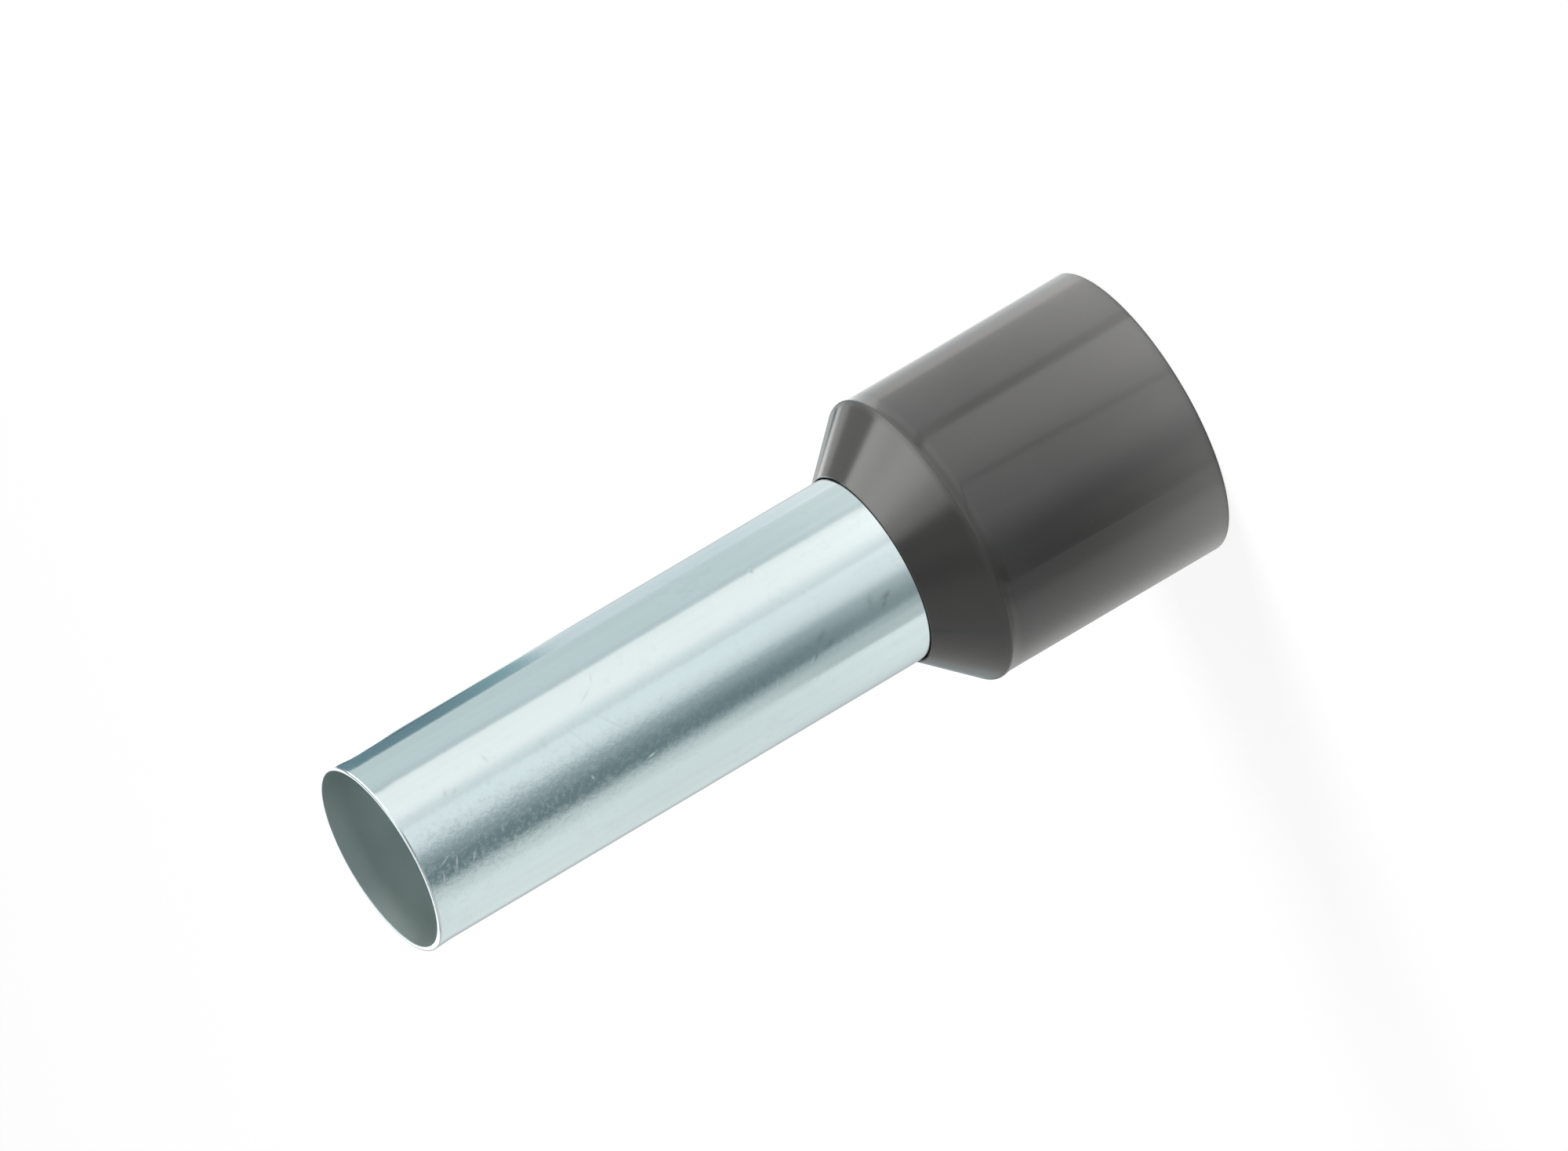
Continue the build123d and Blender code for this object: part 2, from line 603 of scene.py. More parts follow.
@dataclass
class Outline:
    """A closed section of a turned piece: corners as radius and height, each with its rounding."""

    corners: list[tuple[float, float, float]] = field(default_factory=list)

    def corner(self, radius: float, height: float, rounding: float = 0.0) -> "Outline":
        """Adds a corner and returns the outline."""
        self.corners.append((radius, height, rounding))
        return self

    def points(self, arc_steps: int = 8, longest: float = 0.5, guard: float = 0.02) -> np.ndarray:
        """The outline as points, with each rounding drawn as an arc.

        A corner with turn t and rounding r starts its arc r tan(t/2) before the corner and ends it as
        far after. Straight runs are divided evenly, with one more point close to each end, so that
        smooth shading keeps a run flat beside its arcs.

        Args:
            arc_steps: steps in each arc.
            longest: longest step on a straight run, in millimetres.
            guard: distance of the extra points from a run's ends.

        Returns:
            Points of radius and height, one row each, without repeats.
        """
        data = np.array(self.corners)
        place, rounding = data[:, :2], data[:, 2]
        ahead = np.roll(place, -1, axis=0) - place
        ahead /= np.linalg.norm(ahead, axis=1, keepdims=True)
        behind = np.roll(ahead, 1, axis=0)
        turn = np.arctan2(behind[:, 0] * ahead[:, 1] - behind[:, 1] * ahead[:, 0], (behind * ahead).sum(1))
        reach = rounding * np.tan(np.abs(turn) / 2)
        side = np.sign(turn)[:, None] * np.stack([-behind[:, 1], behind[:, 0]], axis=1)
        start = place - behind * reach[:, None]
        centre = start + side * rounding[:, None]
        swept = np.linspace(0.0, 1.0, arc_steps + 1)[None, :] * turn[:, None]
        spoke = start - centre
        arcs = np.stack([
            centre[:, :1] + spoke[:, :1] * np.cos(swept) - spoke[:, 1:] * np.sin(swept),
            centre[:, 1:] + spoke[:, :1] * np.sin(swept) + spoke[:, 1:] * np.cos(swept),
        ], axis=2)
        runs = []
        for index, arc in enumerate(arcs):
            arc = arc if rounding[index] > 0 else place[index:index + 1]
            after = arcs[(index + 1) % len(arcs)]
            goal = after[0] if rounding[(index + 1) % len(arcs)] > 0 else place[(index + 1) % len(arcs)]
            length = float(np.linalg.norm(goal - arc[-1]))
            even = np.linspace(0.0, 1.0, max(1, math.ceil(length / longest)) + 1)[1:-1]
            near = np.array([guard, length - guard]) / length if length > 3 * guard else np.zeros(0)
            share = np.unique(np.concatenate([even, near]))[:, None]
            runs += [arc, arc[-1] + (goal - arc[-1]) * share]
        return np.vstack(runs)


@dataclass(frozen=True)
class Wave:
    """One term of a wavy wall: share sin(count azimuth + lean height + phase)."""

    share: float
    count: int
    lean: float
    phase: float

    def at(self, azimuth: np.ndarray, height: np.ndarray) -> np.ndarray:
        """The term at each azimuth (radians) and height (millimetres)."""
        return self.share * np.sin(self.count * azimuth + self.lean * height + self.phase)


def smooth_step(value: np.ndarray, low: float, high: float) -> np.ndarray:
    """0 where a value is at low, 1 where it is at high, and 3t^2 - 2t^3 in between."""
    share = np.clip((value - low) / (high - low), 0.0, 1.0)
    return share * share * (3.0 - 2.0 * share)


@dataclass(frozen=True)
class Wander:
    """How far a drawn wall strays from true, in millimetres.

    The radius grows by lobes + ripples: a few lobes round the axis that lean as they rise, and short
    ripples, both as sums of sines with fixed phases. Near the tip the inner surface is also shifted
    sideways, so that the wall is thicker on one side than on the other. With its default sizes the
    wall is true.
    """

    lobe_depth: float = 0.0
    ripple_depth: float = 0.0
    fade_from: float = 0.0
    fade_to: float = 1.0
    shift: SideShift = SideShift()
    inner_radius: float = 0.0
    """Surfaces within this radius are shifted."""
    skin: float = 0.04
    """How far inside that radius the shift is complete."""
    lobes: tuple[Wave, ...] = (Wave(1.0, 2, 0.02, 0.9), Wave(0.5, 3, -0.05, -0.4))
    ripples: tuple[Wave, ...] = (
        Wave(1.0, 7, 0.31, 1.3), Wave(0.8, 11, -0.47, 2.1), Wave(0.6, 5, 0.9, 0.2), Wave(0.5, 17, 0.23, 4.0),
    )

    def at(self, azimuth: np.ndarray, height: np.ndarray, radius: np.ndarray) -> np.ndarray:
        """How much the radius changes.

        Args:
            azimuth: radians from +X towards +Y.
            height: millimetres up from the mouth.
            radius: true radius, in millimetres.

        Returns:
            The change at each point: fade (lobes + ripples) + shift cos(turned away).
        """
        grown = sum(
            depth * sum(wave.at(azimuth, height) for wave in waves) / sum(wave.share for wave in waves)
            for depth, waves in ((self.lobe_depth, self.lobes), (self.ripple_depth, self.ripples))
        )
        inside = np.clip((self.inner_radius - radius) / self.skin, 0.0, 1.0)
        # A finish's azimuth starts at -Y and grows towards -X, so it is 270 degrees less this one
        turned_away = 1.5 * np.pi - azimuth - math.radians(self.shift.azimuth)
        aside = self.shift.by * smooth_step(height, self.shift.start, self.shift.full) * inside
        return smooth_step(height, self.fade_from, self.fade_to) * grown + aside * np.cos(turned_away)


@dataclass
class Turned:
    """A piece turned about Z from a closed outline."""

    name: str
    node: Node
    slot: Slot
    outline: np.ndarray
    """Points of radius and height in millimetres, one row each."""
    around: int
    """How many steps make the turn."""
    wander: Wander

    def build(self, material: bpy.types.Material) -> bpy.types.Object:
        """Makes the mesh, dresses it and puts it in place of its solid.

        The surface is S(u, v) = (R cos v, R sin v, Z), where (R, Z) is the outline's point u and R
        is changed by the wander at that azimuth and height. The outline is closed in u and the turn
        in v, so the mesh is a closed ring. The UV map holds v as arc length and u as length along
        the outline, both in millimetres.

        Args:
            material: the piece's finish.

        Returns:
            The piece.
        """
        outline = self.outline
        ahead = np.roll(outline, -1, axis=0)
        area = float((outline[:, 0] * ahead[:, 1] - ahead[:, 0] * outline[:, 1]).sum())
        if area > 0:
            outline = outline[::-1]
        rows, columns = len(outline), self.around
        azimuth = np.linspace(0.0, 2 * np.pi, columns, endpoint=False)[None, :]
        height = np.repeat(outline[:, 1:], columns, axis=1)
        radius = outline[:, :1] + self.wander.at(azimuth, height, outline[:, :1])
        points = np.stack([radius * np.cos(azimuth), radius * np.sin(azimuth), height], axis=2) * MM
        corner = np.arange(rows * columns).reshape(rows, columns)
        down, left = np.roll(corner, -1, axis=0), np.roll(corner, -1, axis=1)
        faces = np.stack([corner, down, np.roll(down, -1, axis=1), left], axis=2).reshape(-1, 4)

        mesh = bpy.data.meshes.new(self.name)
        mesh.from_pydata(points.reshape(-1, 3), [], faces)
        steps = np.linalg.norm(np.roll(outline, -1, axis=0) - outline, axis=1)
        along = np.concatenate([[0.0], np.cumsum(steps)])
        turn = np.linspace(0.0, 2 * np.pi, columns + 1) * float(outline[:, 0].mean())
        u0, v0 = np.meshgrid(turn[:-1], along[:-1])
        u1, v1 = np.meshgrid(turn[1:], along[1:])
        loops = ((u0, v0), (u0, v1), (u1, v1), (u1, v0))
        uv = np.stack([np.stack(loop, axis=2) for loop in loops], axis=2)
        mesh.uv_layers.new(name="turned").data.foreach_set("uv", uv.astype(np.float32).ravel())
        mesh.polygons.foreach_set("use_smooth", np.ones(len(faces), dtype=bool))
        mesh.materials.append(material)
        mesh.validate()
        piece = bpy.data.objects.new(self.name, mesh)
        bpy.context.scene.collection.objects.link(piece)
        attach(piece, "root")
        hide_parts(self.node.value)
        LOG.info("%s: %d faces in place of %s", self.name, len(faces), self.node.value)
        return piece


@dataclass
class ContactSleeve:
    """The tin-plated copper tube with its flared tip and hidden funnel."""

    sizes: FerruleSizes = field(default_factory=FerruleSizes)
    around: int = 288
    rim_edge: float = 0.03
    """Rounding of the funnel's rim, in millimetres."""
    lobe_depth: float = 0.010
    ripple_depth: float = 0.0022
    true_above_lip: float = 0.05
    """How far above the collar's lip the tube is still true, in millimetres."""
    wavy_above_lip: float = 2.5
    """How far above the lip its waviness is complete."""
    skin: float = 0.04
    """Depth under the outside at which the shift of the inner surface sets in."""
    tip_shift: SideShift = SideShift(by=0.042, azimuth=245.0, start=36.0, full=38.7)
    marks: tuple[Mark, ...] = (
        Mark(azimuth=17.0, height=15.25, long=0.26, wide=0.12, turn=70.0, depth=0.08, stain=0.42),
        Mark(azimuth=20.5, height=15.45, long=0.20, wide=0.08, turn=50.0, depth=0.05, stain=0.35),
        Mark(azimuth=15.2, height=16.0, long=0.30, wide=0.14, turn=20.0, depth=0.05, stain=0.22),
        Mark(azimuth=18.0, height=18.6, long=0.30, wide=0.12, turn=60.0, depth=0.05, stain=0.22),
        Mark(azimuth=24.5, height=18.4, long=0.22, wide=0.10, turn=75.0, depth=0.05, stain=0.22),
        Mark(azimuth=27.3, height=19.2, long=0.18, wide=0.08, turn=40.0, depth=0.1, stain=0.20),
        Mark(azimuth=25.5, height=21.8, long=0.12, wide=0.10, turn=0.0, depth=0.1, stain=0.18),
        Mark(azimuth=-20.5, height=28.9, long=0.40, wide=0.06, turn=60.0, depth=0.3, stain=0.16),
        Mark(azimuth=-28.0, height=28.2, long=0.30, wide=0.05, turn=30.0, depth=0.3, stain=0.12),
        Mark(azimuth=-19.0, height=34.1, long=0.20, wide=0.08, turn=-6.0, depth=0.4, stain=0.18),
        Mark(azimuth=-13.5, height=36.4, long=0.22, wide=0.09, turn=25.0, depth=0.1, stain=0.16),
        Mark(azimuth=-11.8, height=36.0, long=0.14, wide=0.08, turn=60.0, depth=0.1, stain=0.16),
        Mark(azimuth=-1.0, height=28.6, long=0.60, wide=0.06, turn=-32.0, depth=0.2, stain=0.10),
        Mark(azimuth=-4.0, height=30.2, long=0.50, wide=0.06, turn=-20.0, depth=0.2, stain=0.10),
        Mark(azimuth=-8.5, height=31.6, long=0.25, wide=0.15, turn=10.0, depth=0.2, stain=0.10),
        Mark(azimuth=-35.5, height=19.6, long=0.16, wide=0.08, turn=10.0, depth=0.5, stain=0.12),
        Mark(azimuth=23.0, height=37.4, long=0.26, wide=0.035, turn=22.0, depth=0.6, scuff=0.5),
        Mark(azimuth=26.0, height=36.6, long=0.20, wide=0.035, turn=30.0, depth=0.6, scuff=0.5),
        Mark(azimuth=21.0, height=30.4, long=0.09, wide=0.05, turn=-10.0, depth=1.2, scuff=0.6),
        Mark(azimuth=28.0, height=27.6, long=0.14, wide=0.04, turn=80.0, depth=1.2, scuff=0.6),
        Mark(azimuth=19.0, height=37.9, long=0.22, wide=0.03, turn=65.0, depth=0.6, scuff=0.5),
        Mark(azimuth=28.5, height=38.2, long=0.25, wide=0.03, turn=10.0, depth=0.6, scuff=0.5),
        Mark(azimuth=150.0, height=22.0, long=0.18, wide=0.09, turn=40.0, depth=0.8, stain=0.25),
    )

    def outline(self) -> np.ndarray:
        """The section of one thickness of metal, from the tip down the outside and back up inside.

        The inner line is the outer one moved in by the wall, so each inner corner lies on the line
        that halves the bend, and its rounding is larger or smaller by the wall.

        Returns:
            The section's points.
        """
        s = self.sizes
        radius, wall = s.sleeve_radius, s.sleeve_wall
        bend = s.seat_height(radius)
        flare_turn = math.atan2(s.tip_flare, s.tip_flare_length)
        rim = (s.funnel_radius, s.seat_height(s.funnel_radius))
        inner_rim = (rim[0] - wall * math.cos(s.angle), rim[1] - wall * math.sin(s.angle))
        flare_height = s.tip_height - s.tip_flare_length
        return (
            Outline()
            .corner(s.tip_radius, s.tip_height, s.tip_outer_edge)
            .corner(radius, flare_height, s.tip_flare_radius)
            .corner(radius, bend, s.funnel_bend)
            .corner(*rim, self.rim_edge)
            .corner(*inner_rim, self.rim_edge)
            .corner(radius - wall, bend - wall * math.tan(s.angle / 2), s.funnel_bend + wall)
            .corner(radius - wall, flare_height + wall * math.tan(flare_turn / 2), s.tip_flare_radius - wall)
            .corner(s.tip_radius - wall, s.tip_height, s.tip_inner_edge)
            .points()
        )

    def build(self) -> bpy.types.Object:
        """Makes the sleeve.

        Returns:
            The piece.
        """
        lip, radius = self.sizes.collar_length, self.sizes.sleeve_radius
        wander = Wander(
            lobe_depth=self.lobe_depth, ripple_depth=self.ripple_depth,
            fade_from=lip + self.true_above_lip, fade_to=lip + self.wavy_above_lip,
            shift=self.tip_shift, inner_radius=radius - self.skin, skin=self.skin,
        )
        finish = TinPlate(marks=self.marks, sleeve_radius=radius, shift=self.tip_shift)
        piece = Turned("sleeve_shell", Node.SLEEVE, Slot.SLEEVE, self.outline(), self.around, wander)
        return piece.build(finish.make())


@dataclass
class InsulatingCollar:
    """The plastic moulding: round wall, the shoulder's edge, cone, lip and the seat inside."""

    sizes: FerruleSizes = field(default_factory=FerruleSizes)
    around: int = 288
    fine_edge: float = 0.012
    """Rounding of the lip and of the mouth's inner edges, in millimetres."""
    swelling_share: float = 0.99
    """How much of the room up to the edge's rounding the swelling's arc takes."""
    marks: tuple[Mark, ...] = (
        Mark(azimuth=22.0, height=5.4, long=0.50, wide=0.20, turn=-15.0, depth=0.4, scuff=0.10),
        Mark(azimuth=27.0, height=6.3, long=0.12, wide=0.08, turn=0.0, depth=0.5, scuff=0.15),
        Mark(azimuth=32.0, height=5.2, long=4.2, wide=0.05, turn=91.0, depth=-0.3),
        Mark(azimuth=-24.0, height=9.2, long=0.40, wide=0.04, turn=70.0, depth=0.3),
        Mark(azimuth=140.0, height=7.5, long=0.60, wide=0.05, turn=35.0, depth=0.5),
    )

    def outline(self) -> np.ndarray:
        """The section, from the mouth up the outside, over the shoulder and down inside.

        The wall swells out to the shoulder's edge along one arc. Its tangents, the wall's line and
        the line that meets the edge, cross at the swelling's corner, and each makes the angle
        "lean" with the arc's chord.

        Returns:
            The section's points.
        """
        s = self.sizes
        bore, seat = s.collar_bore / 2, s.lip_bore_radius
        foot_radius = s.wall_radius + s.shoulder_ridge_length * s.draft
        foot = np.array([foot_radius, s.ridge_height - s.shoulder_ridge_length])
        chord = np.array([s.ridge_radius, s.ridge_height]) - foot
        tilt = math.radians(s.collar_draft)
        lean = math.atan2(chord[0], chord[1]) + tilt
        reach = float(np.linalg.norm(chord)) / 2 / math.cos(lean)
        swelling = foot + reach * np.array([-math.sin(tilt), math.cos(tilt)])
        edge_reach = s.shoulder_edge * math.tan((2 * lean - tilt + s.angle) / 2)
        return (
            Outline()
            .corner(s.mouth_radius, 0.0, s.mouth_outer_edge)
            .corner(*swelling, self.swelling_share * (reach - edge_reach) / math.tan(lean))
            .corner(s.ridge_radius, s.ridge_height, s.shoulder_edge)
            .corner(s.lip_radius, s.collar_length, self.fine_edge)
            .corner(seat, s.collar_length, self.fine_edge)
            .corner(seat, s.seat_height(seat), s.funnel_bend + s.seat_relief)
            .corner(bore, s.seat_height(bore), s.shoulder_root)
            .corner(bore, s.mouth_lead_in, self.fine_edge)
            .corner(bore + s.mouth_lead_in, 0.0, self.fine_edge)
            .points()
        )

    def build(self) -> bpy.types.Object:
        """Makes the collar.

        Returns:
            The piece.
        """
        s = self.sizes
        finish = CollarPlastic(marks=self.marks, wall_radius=s.mouth_radius, ridge_height=s.ridge_height)
        piece = Turned("collar_moulding", Node.COLLAR, Slot.COLLAR, self.outline(), self.around, Wander())
        return piece.build(finish.make())


# Studio


def shown_to(thing: bpy.types.Object, *rays: Ray) -> None:
    """Lets only these kinds of ray see a studio object."""
    for ray in Ray:
        setattr(thing, ray.value, ray in rays)


# A panel with this height for an edge, up or down, has no edge there
ENDLESS = 1000.0


@dataclass(frozen=True)
class Panel:
    """An upright strip of the light tent, from one azimuth to the next."""

    start: float
    """Azimuth where it begins, in degrees from the camera's side towards -X."""
    end: float
    """Azimuth where it ends."""
    tone: Tone
    """What it gives off, where 1 is white."""
    start_soft: float = 2.0
    """Degrees over which its first edge fades in."""
    end_soft: float = 2.0
    """Degrees over which its last edge fades out."""
    bottom: float = -ENDLESS
    """Height of its lower edge, in millimetres."""
    top: float = ENDLESS
    """Height of its upper edge."""
    level_soft: float = 4.0
    """Millimetres over which its upper and lower edges fade."""
    share: float = 1.0
    """How much of what is behind it the panel hides."""
    lean: float = 0.0
    """Degrees that it moves for each millimetre up from level zero."""

    def over(self, graph: Graph, below: "Tone | bpy.types.NodeSocket", azimuth: Term,
             height: Term) -> bpy.types.NodeSocket:
        """Lays the panel over what is behind it.

        It covers a point by the product of four smooth steps, one for each of its edges: from nought
        to one over the edge's soft width, and half-way at the edge itself.

        Args:
            graph: the tent's node graph.
            below: the colour behind the panel.
            azimuth: the point's azimuth, in degrees.
            height: the point's height, in millimetres.

        Returns:
            The colour with the panel on it.
        """
        half = (self.end - self.start) / 2
        middle = self.start + half + height * self.lean if self.lean else self.start + half
        off = (azimuth - middle).wrapped(-180.0, 180.0)
        start_soft, end_soft, level_soft = self.start_soft / 2, self.end_soft / 2, self.level_soft / 2
        mask = off.between(-half - start_soft, -half + start_soft)
        mask = mask * (1 - off.between(half - end_soft, half + end_soft))
        if self.bottom > -ENDLESS:
            mask = mask * height.between(self.bottom - level_soft, self.bottom + level_soft)
        if self.top < ENDLESS:
            mask = mask * (1 - height.between(self.top - level_soft, self.top + level_soft))
        return graph.blend(below, self.tone, mask * self.share if self.share < 1 else mask)


@dataclass
class LightTent:
    """The round tent that shiny surfaces reflect; no other ray meets it.

    To the camera, the sleeve's wall reflects the tent from the height `low` up to about 12 mm, the
    collar's wall what is under `low`, and the conical shoulder mostly what is above 12 mm. So
    `panels` are the sleeve's, `low_panels` take their place under `low`, and `high_panels` are laid
    over both. Each panel lies over the ones before it. Heights are in millimetres.
    """

    radius: float = 80.0
    bottom: float = -400.0
    top: float = 500.0
    around: int = 128
    ground: Tone = (0.80, 0.86, 0.88)
    low: float = -14.3
    low_soft: float = 1.6
    panels: tuple[Panel, ...] = (
        Panel(-200.0, -121.0, (0.68, 0.76, 0.79), 3.0, 3.0, bottom=-9.0, level_soft=6.0),
        Panel(-121.0, -60.0, (0.60, 0.685, 0.695), 3.0, 3.0),
        Panel(-75.0, -60.0, (0.55, 0.63, 0.65), 4.0, 3.0),
        Panel(-67.5, -10.0, (0.96, 0.98, 0.98), 4.0, 3.0),
        Panel(-25.0, 40.0, (0.67, 0.745, 0.77), 22.0, 3.0),
        Panel(-14.2, 40.0, (0.81, 0.885, 0.90), 1.5, 3.0),
        Panel(6.0, 100.0, (0.70, 0.77, 0.785), 12.0, 3.0),
        Panel(16.5, 100.0, (0.35, 0.42, 0.44), 15.0, 3.0),
        Panel(31.0, 100.0, (0.165, 0.225, 0.24), 24.0, 3.0),
        Panel(59.3, 200.0, (0.58, 0.645, 0.65), 16.0, 3.0),
        Panel(74.0, 200.0, (0.73, 0.79, 0.79), 24.0, 3.0),
        Panel(84.0, 150.0, (0.78, 0.84, 0.84), 20.0, 20.0, bottom=6.0, level_soft=8.0),
        Panel(53.0, 75.5, (0.43, 0.50, 0.51), 4.0, 3.0, top=-5.0, level_soft=7.0),
        Panel(76.0, 120.0, (0.80, 0.87, 0.87), 4.0, 30.0, top=-7.0, level_soft=7.0),
        Panel(140.0, 180.0, (0.64, 0.69, 0.70), 20.0, 4.0, top=-4.0, level_soft=8.0),
        Panel(155.0, 180.0, (0.47, 0.52, 0.53), 16.0, 4.0),
        Panel(-125.0, -8.0, (1.45, 1.45, 1.45), 6.0, 8.0, top=-8.5, level_soft=6.0, share=0.12),
        Panel(4.0, 88.0, (1.15, 1.18, 1.18), 24.0, 20.0, top=-8.5, level_soft=7.0, share=0.14),
        Panel(50.0, 60.0, (0.43, 0.50, 0.51), 4.0, 4.0, top=-9.0, level_soft=5.0),
        Panel(-161.0, -122.5, (0.27, 0.43, 0.47), 3.0, 3.0, bottom=3.5, top=30.0, level_soft=2.0, lean=0.15),
        Panel(-158.0, -122.5, (0.16, 0.26, 0.30), 4.0, 3.0, bottom=6.0, top=30.0, level_soft=6.0, lean=0.15),
        Panel(-173.5, -162.5, (0.09, 0.15, 0.18), 2.0, 5.0, bottom=5.0, top=12.0, level_soft=3.0, lean=1.3),
        Panel(-183.0, -158.5, (0.62, 0.665, 0.67), 3.0, 4.0, top=1.0, level_soft=4.0),
    )
    low_panels: tuple[Panel, ...] = (
        Panel(-200.0, 200.0, (1.12, 1.15, 1.17)),
        Panel(-132.5, 0.0, (1.47, 1.44, 1.41), 13.0, 3.0),
        Panel(-122.5, 0.0, (0.93, 0.93, 0.93), 3.0, 3.0),
        Panel(-100.0, 0.0, (1.0, 1.0, 1.0), 16.0, 3.0),
        Panel(-71.0, 0.0, (0.20, 0.20, 0.20), 7.0, 3.0),
        Panel(-62.0, 0.0, (1.46, 1.46, 1.45), 2.5, 3.0),
        Panel(-28.0, 60.0, (0.98, 0.99, 0.99), 34.0, 3.0),
        Panel(-31.5, -27.3, (0.30, 0.31, 0.32), 1.0, 1.5, lean=-0.67),
        Panel(22.0, 100.0, (0.18, 0.19, 0.19), 30.0, 3.0),
        Panel(48.0, 100.0, (0.03, 0.03, 0.03), 14.0, 3.0),
        Panel(60.5, 100.0, (0.48, 0.48, 0.47), 1.5, 3.0),
        Panel(80.0, 200.0, (0.93, 0.92, 0.91), 14.0, 3.0),
        Panel(152.0, 178.0, (0.56, 0.56, 0.55), 40.0, 4.0),
        Panel(168.0, 178.0, (0.26, 0.26, 0.26), 8.0, 4.0),
        Panel(-182.0, -160.4, (1.62, 1.62, 1.62), 4.0, 5.0),
        Panel(-182.0, -150.0, (1.12, 1.13, 1.13), 4.0, 8.0, bottom=-19.0, level_soft=5.0),
        Panel(-200.0, 200.0, (0.0, 0.0, 0.0), top=-34.0, level_soft=8.0, share=0.42),
    )
    high_panels: tuple[Panel, ...] = (
        Panel(-145.0, -116.0, (0.28, 0.28, 0.28), 3.0, 3.0, bottom=26.0, level_soft=6.0),
        Panel(-182.0, -140.5, (0.95, 0.95, 0.94), 3.0, 6.0, bottom=18.5, level_soft=3.0),
        Panel(-182.0, -150.5, (2.30, 2.29, 2.27), 3.0, 6.0, bottom=14.0, level_soft=1.5),
        Panel(-182.0, -160.1, (0.98, 0.98, 0.97), 3.0, 2.0, bottom=2.5, top=11.5, level_soft=3.0, lean=0.10),
        Panel(-201.0, -177.2, (1.90, 1.90, 1.88), 3.0, 2.0, bottom=11.0, top=15.0, level_soft=1.5, lean=2.0),
        Panel(-190.0, -154.0, (3.10, 3.09, 3.06), 3.0, 3.0, bottom=14.8, top=30.0, level_soft=1.0),
        Panel(-114.4, -14.0, (3.68, 3.68, 3.63), 6.0, 12.0, bottom=30.0, level_soft=12.0),
        Panel(-86.0, -52.0, (4.40, 4.40, 4.34), 16.0, 30.0, bottom=30.0, level_soft=12.0),
        Panel(-45.0, -14.0, (2.1, 2.1, 2.07), 42.0, 12.0, bottom=30.0, level_soft=12.0),
        Panel(
            -145.5, -60.0, (1.20, 1.20, 1.18), 14.0, 20.0,
            bottom=28.0, top=195.0, level_soft=14.0, lean=0.775,
        ),
        Panel(-18.0, 110.0, (0.06, 0.06, 0.06), 26.0, 60.0, bottom=30.0, level_soft=12.0),
        Panel(16.0, 110.0, (0.22, 0.22, 0.215), 20.0, 60.0, bottom=30.0, level_soft=12.0),
        Panel(62.0, 125.0, (0.64, 0.64, 0.63), 44.0, 20.0, bottom=30.0, level_soft=12.0),
        Panel(-40.0, 60.0, (0.48, 0.50, 0.51), 12.0, 12.0, bottom=37.0, top=80.0, level_soft=6.0),
        Panel(115.0, 165.0, (0.62, 0.62, 0.61), 30.0, 10.0, bottom=15.0, level_soft=6.0),
        Panel(168.0, 181.0, (0.22, 0.25, 0.27), 8.0, 6.0, bottom=15.0, level_soft=4.0),
        Panel(-300.0, -177.5, (0.38, 0.45, 0.49), 3.0, 10.0, bottom=62.0, level_soft=4.0, lean=0.775),
        Panel(140.0, 220.0, (1.25, 1.29, 1.32), 12.0, 12.0, bottom=57.0, top=88.0, level_soft=5.0),
        Panel(-200.0, 200.0, (0.80, 0.83, 0.85), bottom=215.0, level_soft=20.0),
    )

    def build(self) -> bpy.types.Object:
        """Makes the tent: an open cylinder that gives off its panels' tones.

        It is two rings of points, one at the bottom and one at the top, joined by upright faces.

        Returns:
            The tent.
        """
        turn = np.linspace(0.0, 2 * np.pi, self.around, endpoint=False)
        ring = np.stack([np.cos(turn), np.sin(turn)], axis=1) * self.radius
        levels = np.repeat([self.bottom, self.top], self.around)[:, None]
        points = np.hstack([np.vstack([ring, ring]), levels]) * MM
        low = np.arange(self.around)
        after = np.roll(low, -1)
        faces = np.stack([low, low + self.around, after + self.around, after], axis=1)
        mesh = bpy.data.meshes.new("light_tent")
        mesh.from_pydata(points, [], faces)
        mesh.materials.append(self.material())
        tent = bpy.data.objects.new("light_tent", mesh)
        bpy.context.scene.collection.objects.link(tent)
        shown_to(tent, Ray.GLOSSY)
        LOG.info("light_tent: %d panels", len(self.panels + self.low_panels + self.high_panels))
        return tent

    @staticmethod
    def laid(graph: Graph, surface: Surface, panels: tuple[Panel, ...],
             below: "Tone | bpy.types.NodeSocket") -> "Tone | bpy.types.NodeSocket":
        """Lays panels over a colour, each over the ones before it.

        Args:
            graph: the tent's node graph.
            surface: where a point of the tent is.
            panels: the panels, the lowest first.
            below: the colour behind them.

        Returns:
            The colour with the panels on it.
        """
        for panel in panels:
            below = panel.over(graph, below, surface.azimuth, surface.height)
        return below

    def material(self) -> bpy.types.Material:
        """Makes the tent's light: its ground tone with the panels laid over it.

        Under `low` it is the low panels on the ground tone and over it the others, with the high
        panels laid over the whole.

        Returns:
            The material.
        """
        material = bpy.data.materials.new("tent_light")
        material.use_nodes = True
        material.cycles.emission_sampling = "NONE"
        graph = Graph(material.node_tree)
        surface = Surface(graph)
        tone = self.laid(graph, surface, self.panels, self.ground)
        low_tone = self.laid(graph, surface, self.low_panels, self.ground)
        low_soft = self.low_soft / 2
        above = surface.height.between(self.low - low_soft, self.low + low_soft)
        tone = self.laid(graph, surface, self.high_panels, graph.blend(low_tone, tone, above))
        light = graph.add("ShaderNodeEmission", None, {"Color": tone, "Strength": 1.0})
        graph.add("ShaderNodeOutputMaterial", None, {"Surface": light.out()})
        return material


